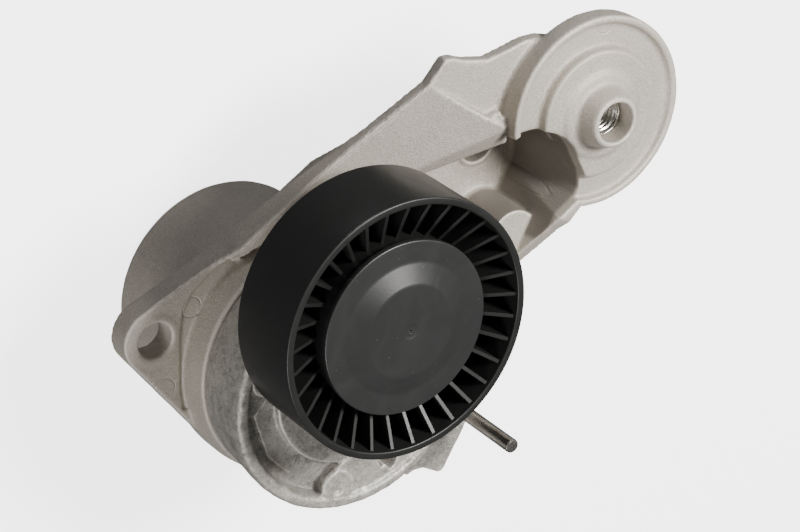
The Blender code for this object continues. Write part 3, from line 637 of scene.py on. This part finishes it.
# solid side of the pocket, under the disc and against the idler column
fill = outline("pocket_side", [(66, 33), (71.8, 33.6), (76.0, 38.4), (84.0, 44.5), (84.0, 56.0),
                               (76.0, 66.0), (64.0, 64.0), (58.5, 58.6), (60.0, 50.0)],
               WEB_Z[0] + 0.5, DISC_BACK_Z + 0.5, None)
boolean(fill, drum("under_disc", 28.0, 40.0, 80.0, None, IDLER_XY, seg=48), "INTERSECT")
cut(fill, pocket("pocket_2"))
# low wall from there to the collar
rim_back = outline("rim_back", [(56.5, 12.9), (62.0, 15.4), (60.0, 20.4), (52.0, 16.0), (37.4, 8.4), (36.2, 3.8)],
                   WEB_Z[0], 66.0, None)
boolean(rim_back, half_space("rim_back_top", (60.0, 16.0, 65.4), (0.36, 0.20)), "INTERSECT")
# raised boss that stands on the web, against the wall
boss_f = drafted("boss_f",
                 circle(60.0, 25.8, 9.0, 20, 190, 12, ends=True) + [(54.0, 17.5), (63.5, 20.5)],
                 circle(60.9, 25.6, 7.8, 20, 190, 12, ends=True) + [(55.0, 17.5), (64.0, 20.5)],
                 WEB_Z[0] + 1, 65.1)

# column and shield disc of the second idler seat
seat = turned("idler_seat", [
    (0, IDLER_SEAT_Z), (6.9, IDLER_SEAT_Z), (7.6, IDLER_SEAT_Z - 0.7), (9.0, 78.9), (9.5, 78.3),
    (12.3, 78.0), (13.2, 77.2), (18.5, 77.0), (18.9, 76.5), (19.3, 74.1), (25.7, 73.9),
    (26.1, 74.3), (26.4, 75.4), (26.9, 75.7), (28.0, 75.7), (28.5, 75.2), (DISC_R, DISC_BACK_Z),
    (27.4, DISC_BACK_Z - 0.2), (16.5, DISC_BACK_Z + 0.1), (13.2, 66.0), (12.4, WEB_Z[1]),
    (12.4, WEB_Z[0] + 0.6), (0, WEB_Z[0] + 0.6)], None, IDLER_XY, steps=40)
# the disc is cut away over the lower mounting bolt
cut(seat, outline("scallop", circle(59.1, 46.5, 15.4, 122, 18, 16, ends=True)
                  + [(76.6, 45.4), (76.7, 43.9), (76.9, 38.2), (77.3, 35.0), (78.5, 31.0), (60, 28),
                     (44, 36), (44, 56)], 66.5, 80.0, None))

# upper plate behind the disc
plate_g = outline("plate_g", [
    (29.7, 79.8), (35.2, 86.2), (37.6, 86.2), (41.2, 84.8), (48.8, 83.4), (55.6, 84.9),
    (61.0, 86.4), (66.3, 86.5), (70.6, 85.4), (78.0, 82.0), (82.0, 70.0), (66.0, 60.0), (55.2, 63.6), (53.3, 63.2)],
    62, 72, None)
boolean(plate_g, half_space("plane_g_top", *PLANE_G), "INTERSECT")
boolean(plate_g, half_space("plane_g_back", (29.7, 79.8, 63.5), PLANE_G[1], below=False),
        "INTERSECT")
rib_g = wall("rib_g", (49.0, 71.5), (74.0, 71.0), 3.2, WEB_Z[0] + 1, 66.0)

join(bracket, ear, ear_rim, web, web_boss, web_ring, plate_a, foot, rib_a, seat, fill, rim_low, rim_back,
     boss_f, plate_g, rib_g)

# shallow pocket between the side wall and the collar
ear_pocket = outline("ear_pocket", [(-21.6, 34.9), (-28.5, 31.4), (-34.5, 27.0), (-38.0, 21.0),
                                (-39.0, 14), (-39.4, 6), (-39.7, -2), (-39.2, -9)]
                 + circle(0, 0, COLLAR_R[0] + 0.05, 194, 121, 14, ends=True),
                 EAR_Z[1] - 1.1, EAR_Z[1] + 0.6, None)
cut(bracket, ear_pocket)
cut(bracket,
    drum("ear_hole", BOLT_R, 30, 60, None, EAR_HOLE_XY, seg=32),
    drum("lower_bolt_hole", BOLT_R, 34, 60, None, LOWER_BOLT_XY, seg=32),
    drum("shaft_bore", SHAFT_R - 0.4, 2.5, 30, None, (0, 0), seg=32),
    drum("thread_bore", 5.9, 52.0, 90.0, None, IDLER_XY, seg=36))


# the locking pin passes down an arc slot in the collar; its end face is the stop
def pin_slot():
    r = math.hypot(*PIN_XY)
    a = math.degrees(math.atan2(PIN_XY[1], PIN_XY[0]))
    a0 = a - math.degrees((PIN_R + 0.35) / r)
    outer = circle(0, 0, 43.0, a0, a + 36, 16, ends=True)
    inner = circle(0, 0, 35.3, a + 36, a0, 16, ends=True)
    return outer + inner


cut(bracket, outline("pin_slot", pin_slot(), 50.2, 58.0, None))

bracket_mesh = skin(evaluated(bracket), 0.55, 3)
clear_bench()


def rough_up(mesh, amount, size, seed, where=None):
    """Moves each point a little along its normal, so a cast face isn't perfectly flat."""
    normals = [v.normal.copy() for v in mesh.vertices]
    for v, n in zip(mesh.vertices, normals):
        p = v.co / (size * MM) + Vector((seed, seed * 0.7, 0))
        k = 1.0 if where is None else where(v.co / MM)
        if k:
            v.co += n * (noise.noise(p) + 0.5 * noise.noise(p * 2.3)) * amount * MM * k


rough_up(bracket_mesh, 0.05, 4.5, 3.1)
# torn flash along the ear's upper side, left rough where the gate was broken off
rough_up(bracket_mesh, 0.34, 0.85, 6.4, where=lambda p: max(0.0, 1 - abs(
    (p.x + 50.4) * -0.387 + (p.y - 24.1) * 0.922) / 1.4) if -43 < p.x < -18 and 45.0 < p.z < 49.5 else 0.0)
bracket_skin = final("bracket_skin", bracket_mesh, CAST, "root", "bracket_casting", 0)


# thin uneven flash left where the die halves meet, along the rising plate and the ear
def flash(name, path, out, width, height, seed, gaps=0.25):
    """A low ragged ridge along path (points in mm); out gives the way it stands at each point."""
    dense, lean = [], []
    for (p, q), (u, v) in zip(zip(path, path[1:]), zip(out, out[1:])):
        p, q, u, v = Vector(p), Vector(q), Vector(u), Vector(v)
        n = max(2, int((q - p).length / 0.35))
        for i in range(n):
            dense.append(p.lerp(q, i / n))
            lean.append(u.lerp(v, i / n).normalized())
    rows = []
    for i, (p, u) in enumerate(zip(dense, lean)):
        a, b = dense[max(0, i - 1)], dense[min(len(dense) - 1, i + 1)]
        side = (b - a).normalized().cross(u).normalized()
        k = noise.noise(p * 0.9 + Vector((seed, 0, 0)))
        fade = min(1.0, i / 6, (len(dense) - 1 - i) / 6)
        h = height * fade * max(gaps * 0.3, 0.75 + 0.9 * k)
        wob = side * (0.25 * noise.noise(p * 0.55 + Vector((0, seed, 0))))
        w = width * (0.8 + 0.4 * noise.noise(p * 1.7))
        base = p + wob - u * 0.3
        rows.append([base - side * w / 2, base - side * w * 0.28 + u * (0.3 + h * 0.75), base + u * (0.3 + h),
                     base + side * w * 0.30 + u * (0.3 + h * 0.6), base + side * w / 2])
    bm = bmesh.new()
    vs = [[bm.verts.new(c * MM) for c in r] for r in rows]
    for r, s in zip(vs, vs[1:]):
        for j in range(5):
            bm.faces.new((r[j], r[(j + 1) % 5], s[(j + 1) % 5], s[j]))
    bm.faces.new(vs[0])
    bm.faces.new(list(reversed(vs[-1])))
    bmesh.ops.recalc_face_normals(bm, faces=bm.faces)
    mesh = bpy.data.meshes.new(name)
    bm.to_mesh(mesh)
    bm.free()
    return final(name, mesh, CAST, "root", angle=60)


def on_plate(t, inward):
    x, y = side_wall_top(t)
    x, y = x + 0.65 * inward, y - 0.76 * inward
    (x0, y0, z0), (sx, sy) = PLANE_A
    return (x, y, z0 + sx * (x - x0) + sy * (y - y0))


PLATE_N = Vector((-0.26, -0.093, 1)).normalized()
SIDE_N = Vector((-0.65, 0.76, 0)).normalized()
UPEDGE = (PLATE_N + SIDE_N * 0.5).normalized()
for nm, t0, t1, inward, w, h, seed in (
        ("flash_edge", 0.03, 0.985, 0.35, 0.75, 0.22, 2.0), ("flash_inner", 0.46, 0.83, 1.5, 0.6, 0.24, 5.0),
        ("flash_low", 0.03, 0.22, 1.3, 0.6, 0.2, 9.0)):
    ts = [t0 + (t1 - t0) * i / 10 for i in range(11)]
    flash(nm, [on_plate(t, inward) for t in ts], [UPEDGE if nm == "flash_edge" else PLATE_N] * 11, w, h, seed)


def ear_edge(s, z):
    """Along the straight upper side of the ear, s in mm from its round end."""
    hx, hy = EAR_HOLE_XY
    return (hx - 0.387 * (EAR_R + 0.02) + 0.922 * s, hy + 0.922 * (EAR_R + 0.02) + 0.387 * s, z)


EAR_N = Vector((-0.387, 0.922, 0))
flash("flash_ear", [ear_edge(s, 47.3) for s in range(3, 27, 3)], [EAR_N] * 8, 0.5, 0.16, 3.0, gaps=0.0)


# ---------------------------------------------------------------- sprung arm
arm = turned("tensioner_arm", [
    (9.5, 72.7), (14.5, 72.7), (14.5, 71.6), (33.4, 71.6), (34.0, 75.6), (34.8, HUB_Z[1]), (36.6, HUB_Z[1]),
    (ARM_HUB_R - 0.3, HUB_Z[1] - 0.8), (ARM_HUB_R, HUB_Z[1] - 2.6), (36.2, HUB_Z[0]), (33.6, HUB_Z[0]),
    (33.6, 65.6), (13.6, 65.6), (13.2, 16.6), (9.5, 16.6)], "arm_casting", steps=44)


def hull_outline(r0, r1, n=20):
    """Two circles, about the pivot and about the pulley axis, joined by tangents."""
    px, py = PULLEY_XY
    d = math.hypot(px, py)
    base = math.degrees(math.atan2(py, px))
    spread = math.degrees(math.acos((r0 - r1) / d))
    a = circle(px, py, r1, base - spread, base + spread, n, ends=True)
    b = circle(0, 0, r0, base + spread, base - spread + 360, n, ends=True)
    return a + b


neck = outline("neck", hull_outline(24.0, 15.5), 66.2, 74.6, None)
post = turned("post", [
    (4.3, 90.5), (7.7, 90.5), (8.3, 89.9), (8.3, 84.0), (13.4, 84.0), (14.0, 83.4), (15.2, 76.8),
    (17.0, 74.8), (17.0, 67.0), (4.3, 67.0)], None, PULLEY_XY, steps=40)
lug = outline("lug", [(24, -22), (17.4, -33.0), (17.6, -34.8), (20.8, -33.9), (23.6, -34.2), (26.0, -35.6),
                      (28.6, -37.2), (29.8, -37.1), (30.7, -36.2), (37.2, -25.6), (41.0, -17.0),
                      (40.6, -13.2), (38.2, -10.6), (30, -9)], 67.4, 75.0, None)
lobe = outline("lobe", [(-11.8, -35.6), (-11.0, -31.0), (-9.6, -27.2), (-6.2, -24.6), (0, -22.5),
                        (8, -22.6), (18, -24.0), (26, -20.5), (33.2, -11.0), (36.2, -11.6),
                        (33.0, -18.6), (22, -30.4), (6.6, -36.2)], 66.0, 75.2, None)
boss1 = drum("boss1", 5.4, 74.6, 76.0, None, (-5.7, -30.3), r_top=4.9, seg=28)
boss2 = drum("boss2", 4.6, 70.0, 73.6, None, (-27.0, 8.0), r_top=4.2, seg=24)
pad = outline("pad", [(-30.6, -2.0), (-25.0, 4.5), (-13.6, -13.0), (-19.6, -23.6), (-26.5, -16.0)],
              70.5, 72.5, None)
join(arm, neck, post, lug, lobe, boss1, boss2, pad)
# the round opening through which the pivot is assembled
cut(arm, drum("hub_opening", 14.4, 72.9, 80.0, None, (0, 0), seg=40))
cut(arm, drum("hub_bore", 9.5, 10.0, 80.0, None, (0, 0), seg=40))
cut(arm, outline("window", [(7.6, -25.8), (8.8, -29.0), (10.2, -28.2), (11.8, -30.6), (13.6, -29.4),
                            (14.6, -26.6), (17.4, -25.4), (15.6, -22.2), (9.5, -22.0)], 69.0, 80.0, None))
cut(arm, drum("pin_hole", PIN_R + 0.3, 54.0, 80.0, None, PIN_XY, seg=20))
cut(arm, drum("bolt_bore", 4.4, 67.0, 95.0, None, PULLEY_XY, seg=24))
cut(arm, drum("dimple", 2.0, 75.1, 78.0, None, (-6.1, -30.7), seg=18))

arm_mesh = skin(evaluated(arm), 0.45, 3)
clear_bench()
rough_up(arm_mesh, 0.14, 2.6, 8.3, where=lambda p: 1.0 if p.z > 64.5 or math.hypot(p.x, p.y) > 33.4 else 0.0)
arm_skin = final("arm_skin", arm_mesh, ARM_CAST, "arm", "tensioner_arm", 0)

# ---------------------------------------------------------------- pulley
def rounded(profile, r=0.35, n=4):
    """Rounds each corner of a closed profile (mm) to about the radius r."""
    out = []
    k = len(profile)
    for i in range(k):
        p, a, b = Vector(profile[i]), Vector(profile[i - 1]), Vector(profile[(i + 1) % k])
        u, w = (a - p), (b - p)
        t = min(r, u.length * 0.45, w.length * 0.45)
        if t < 0.05 or abs(u.normalized().cross(w.normalized())) < 0.12:
            out.append(tuple(p))
            continue
        p0, p1 = p + u.normalized() * t, p + w.normalized() * t
        for j in range(n + 1):
            s = j / n
            q = p0 * (1 - s) ** 2 + p * 2 * s * (1 - s) + p1 * s * s
            out.append((q.x, q.y))
    return out


WEB_TOP = 89.5
pulley = turned("pulley_work", rounded([
    (20.35, 100.9), (HUB_R, 100.9), (HUB_R + 0.2, WEB_TOP), (RIM_INNER_R - 0.5, WEB_TOP),
    (RIM_INNER_R, PULLEY_Z[1]), (PULLEY_R, PULLEY_Z[1]), (PULLEY_R, PULLEY_Z[0]),
    (RIM_INNER_R, PULLEY_Z[0]), (RIM_INNER_R - 0.4, 86.2), (23.6, 86.2), (23.2, 84.4),
    (20.35, 84.4)], 0.5), None, PULLEY_XY, steps=66)


def fins():
    mesh = bpy.data.meshes.new("fins")
    bm = bmesh.new()
    r0, r1 = HUB_R - 0.6, RIM_INNER_R + 0.5
    for k in range(FIN_COUNT):
        a = math.radians(FIN_START_DEG - k * 360 / FIN_COUNT)
        vs = bmesh.ops.create_cube(bm, size=1.0)["verts"]
        bmesh.ops.scale(bm, vec=((r1 - r0) * MM, 1.05 * MM, 1.0 * MM), verts=vs)
        for v in vs:
            inner_end = v.co.x < 0
            v.co.z = ((97.6 if inner_end else 103.7) if v.co.z > 0 else WEB_TOP - 0.8) * MM
        top = [e for e in {e for v in vs for e in v.link_edges}
               if all(v.co.z > 97 * MM for v in e.verts) and abs(e.verts[0].co.x - e.verts[1].co.x) > 1 * MM]
        bmesh.ops.translate(bm, vec=((r0 + r1) / 2 * MM, 0, 0), verts=vs)
        new = bmesh.ops.bevel(bm, geom=top, offset=0.07 * MM, segments=1, affect="EDGES", profile=0.5)
        all_vs = list({v for v in vs if v.is_valid} | {v for v in new["verts"]})
        bmesh.ops.rotate(bm, cent=(0, 0, 0), matrix=Matrix.Rotation(a, 3, "Z"), verts=all_vs)
    bm.to_mesh(mesh)
    bm.free()
    ob = add("fins", mesh, None)
    ob.location = (PULLEY_XY[0] * MM, PULLEY_XY[1] * MM, 0)
    return ob


join(pulley, fins())
pulley_mesh = evaluated(pulley)
clear_bench()
final("pulley_moulding", pulley_mesh, NYLON, "pulley", "pulley_shell", 32)

def soft_line(points, r, n=6):
    """Rounds the inner corners of an open profile."""
    out = [points[0]]
    for a, p, b in zip(points, points[1:], points[2:]):
        a, p, b = Vector(a), Vector(p), Vector(b)
        t = min(r, (a - p).length * 0.45, (b - p).length * 0.45)
        p0, p1 = p + (a - p).normalized() * t, p + (b - p).normalized() * t
        for j in range(n + 1):
            s = j / n
            q = p0 * (1 - s) ** 2 + p * 2 * s * (1 - s) + p1 * s * s
            out.append((q.x, q.y))
    return out + [points[-1]]


cap = turned("cap_work", soft_line([
    (0, CAP_TOP_Z - 0.75), (0.32, CAP_TOP_Z - 0.7), (0.55, CAP_TOP_Z - 0.12), (0.9, CAP_TOP_Z - 0.16),
    (1.6, CAP_TOP_Z - 0.16), (2.3, CAP_TOP_Z + 0.02), (6.0, CAP_TOP_Z + 0.02), (13.4, CAP_TOP_Z - 0.05),
    (19.0, CAP_Z + 0.05), (22.0, CAP_Z), (CAP_R, CAP_Z), (CAP_R, 101.3), (20.0, 101.3),
    (19.95, 98.7), (18.5, 98.7), (18.2, 101.6), (12.6, 104.0), (0, 104.0)], 0.55), None, PULLEY_XY, steps=56)
cap_mesh = evaluated(cap)
clear_bench()
final("cap_moulding", cap_mesh, CAPMAT, "pulley", "dust_cap", 32)


# ---------------------------------------------------------------- threaded insert and pin
def grid_mesh(name, rows):
    """A closed tube of rings: each row is a list of points in mm, the last row joined to the first."""
    mesh = bpy.data.meshes.new(name)
    n = len(rows[0])
    verts = [Vector(p) * MM for r in rows for p in r]
    faces = []
    for i in range(len(rows)):
        for j in range(n):
            a, b = i * n + j, i * n + (j + 1) % n
            c, d = ((i + 1) % len(rows)) * n + (j + 1) % n, ((i + 1) % len(rows)) * n + j
            faces.append((a, b, c, d))
    mesh.from_pydata(verts, [], faces)
    bm = bmesh.new()
    bm.from_mesh(mesh)
    bmesh.ops.recalc_face_normals(bm, faces=bm.faces)
    bm.to_mesh(mesh)
    bm.free()
    return mesh


def threaded_insert():
    cx, cy = IDLER_XY
    n, pitch, z0, z1 = 72, 1.5, 56.0, 78.6
    rows = []
    steps = int((z1 - z0) / pitch * 10)
    for i in range(steps + 1):
        z = z0 + (z1 - z0) * i / steps
        row = []
        for j in range(n):
            t = 2 * math.pi * j / n
            ph = ((z - z0) / pitch - j / n) % 1.0
            depth = min(1.0, max(0.0, (1 - abs(2 * ph - 1)) * 1.5 - 0.25))
            lead = min(1.0, (z1 - z) / 1.1, (z - z0) / 1.1)
            r = 4.38 + 0.82 * (depth * lead + (1 - lead))
            row.append((cx + r * math.cos(t), cy + r * math.sin(t), z))
        rows.append(row)
    for r, z in ((5.5, z1), (5.6, z1 - 0.1), (5.6, z0 + 0.1), (5.5, z0)):
        rows.append([(cx + r * math.cos(2 * math.pi * j / n), cy + r * math.sin(2 * math.pi * j / n), z)
                     for j in range(n)])
    return grid_mesh("threaded_insert", rows)


final("threaded_insert", threaded_insert(), THREAD, "root", "idler_thread_insert", 0)

pin = turned("pin_work", [(0, PIN_Z[1])] + [(PIN_R - 0.45, PIN_Z[1]), (PIN_R - 0.2, PIN_Z[1] - 0.08),
             (PIN_R - 0.05, PIN_Z[1] - 0.28), (PIN_R, PIN_Z[1] - 0.5), (PIN_R, PIN_Z[0] + 1.2),
             (PIN_R - 0.9, PIN_Z[0]), (0, PIN_Z[0])], None, PIN_XY, steps=16)
pin_mesh = evaluated(pin)
clear_bench()
final("pin_rod", pin_mesh, PIN_STEEL, "pin", "locking_pin", 30)

for node, mat in {"pivot_shaft": PLATED, "hub_retaining_plate": PLATED, "torsion_spring": WIRE,
                  "spring_seat": DARKNYLON, "damper_ring": DARKNYLON, "rear_pivot_bush": POLYMER,
                  "front_pivot_bush": POLYMER, "thrust_washer": POLYMER, "bearing_spacer": PLATED,
                  "bearing_inner_ring": BRIGHT, "bearing_outer_ring": BRIGHT, "bearing_cage": POLYMER,
                  "rear_bearing_seal": RUBBER, "front_bearing_seal": RUBBER, "bolt_washer": PLATED,
                  "pulley_bolt": PLATED, **{"bearing_ball_%d" % i: BRIGHT for i in range(1, 9)}}.items():
    ob = NODES[node]
    for s in ob.material_slots:
        s.material = mat

bpy.data.collections.remove(WORK)

# ---------------------------------------------------------------- floor, light and camera
floor_mesh = bpy.data.meshes.new("studio_floor")
bm = bmesh.new()
bmesh.ops.create_grid(bm, x_segments=1, y_segments=1, size=3.0)
bm.to_mesh(floor_mesh)
bm.free()
floor = bpy.data.objects.new("studio_floor", floor_mesh)
bpy.context.scene.collection.objects.link(floor)
floor.location = (0, 0, -0.0006)
fm = bpy.data.materials.new("studio_floor")
fm.use_nodes = True
fb = fm.node_tree.nodes["Principled BSDF"]
fb.inputs["Base Color"].default_value = (0.86, 0.86, 0.86, 1)
fb.inputs["Roughness"].default_value = 0.9
fb.inputs["Specular IOR Level"].default_value = 0.1
fb.inputs["Emission Color"].default_value = (1, 1, 1, 1)
fb.inputs["Emission Strength"].default_value = 3.2
floor_mesh.materials.append(fm)
floor.visible_diffuse = False      # the floor is seen, but throws no glare up on the part
floor.visible_glossy = False

RIGHT = Vector((0.83505424, 0, 0.55016762))
UP = Vector((0.24237961, 0.89772516, -0.3678881))
BACK = Vector((-0.49389932, 0.44055594, 0.7496492))
MIDDLE = Vector((0.025, 0.027, 0.065))


def softbox(name, right, up, back, away, size, watts, color=(1, 1, 1)):
    d = (RIGHT * right + UP * up + BACK * back).normalized()
    data = bpy.data.lights.new(name, "AREA")
    data.shape = "DISK"
    data.size = size
    data.energy = watts
    data.color = color
    ob = bpy.data.objects.new(name, data)
    ob.location = MIDDLE + d * away
    ob.rotation_euler = d.to_track_quat("Z", "Y").to_euler()
    bpy.context.scene.collection.objects.link(ob)
    return ob


softbox("key", 0.72, 0.16, 0.68, 1.0, 0.34, 20.0, (1.0, 0.985, 0.955))
softbox("top", -0.20, 0.93, 0.32, 1.0, 0.45, 8.0)
softbox("low_left", -0.30, -0.78, 0.55, 1.0, 0.55, 6.0, (1.0, 0.99, 0.97))

world = bpy.data.worlds.new("studio")
world.use_nodes = True
bg = world.node_tree.nodes["Background"]
bg.inputs[0].default_value = (1.0, 1.0, 1.0, 1)
bg.inputs[1].default_value = 0.16
bpy.context.scene.world = world

cam_data = bpy.data.cameras.new("photo_camera")
cam_data.lens = 126
cam_data.sensor_width = 36
cam_data.clip_start = 0.05
cam = bpy.data.objects.new("photo_camera", cam_data)
bpy.context.scene.collection.objects.link(cam)
cam.matrix_world = Matrix(((RIGHT.x, UP.x, BACK.x, -0.36317), (RIGHT.y, UP.y, BACK.y, 0.37007),
                           (RIGHT.z, UP.z, BACK.z, 0.64958), (0, 0, 0, 1)))
bpy.context.scene.camera = cam
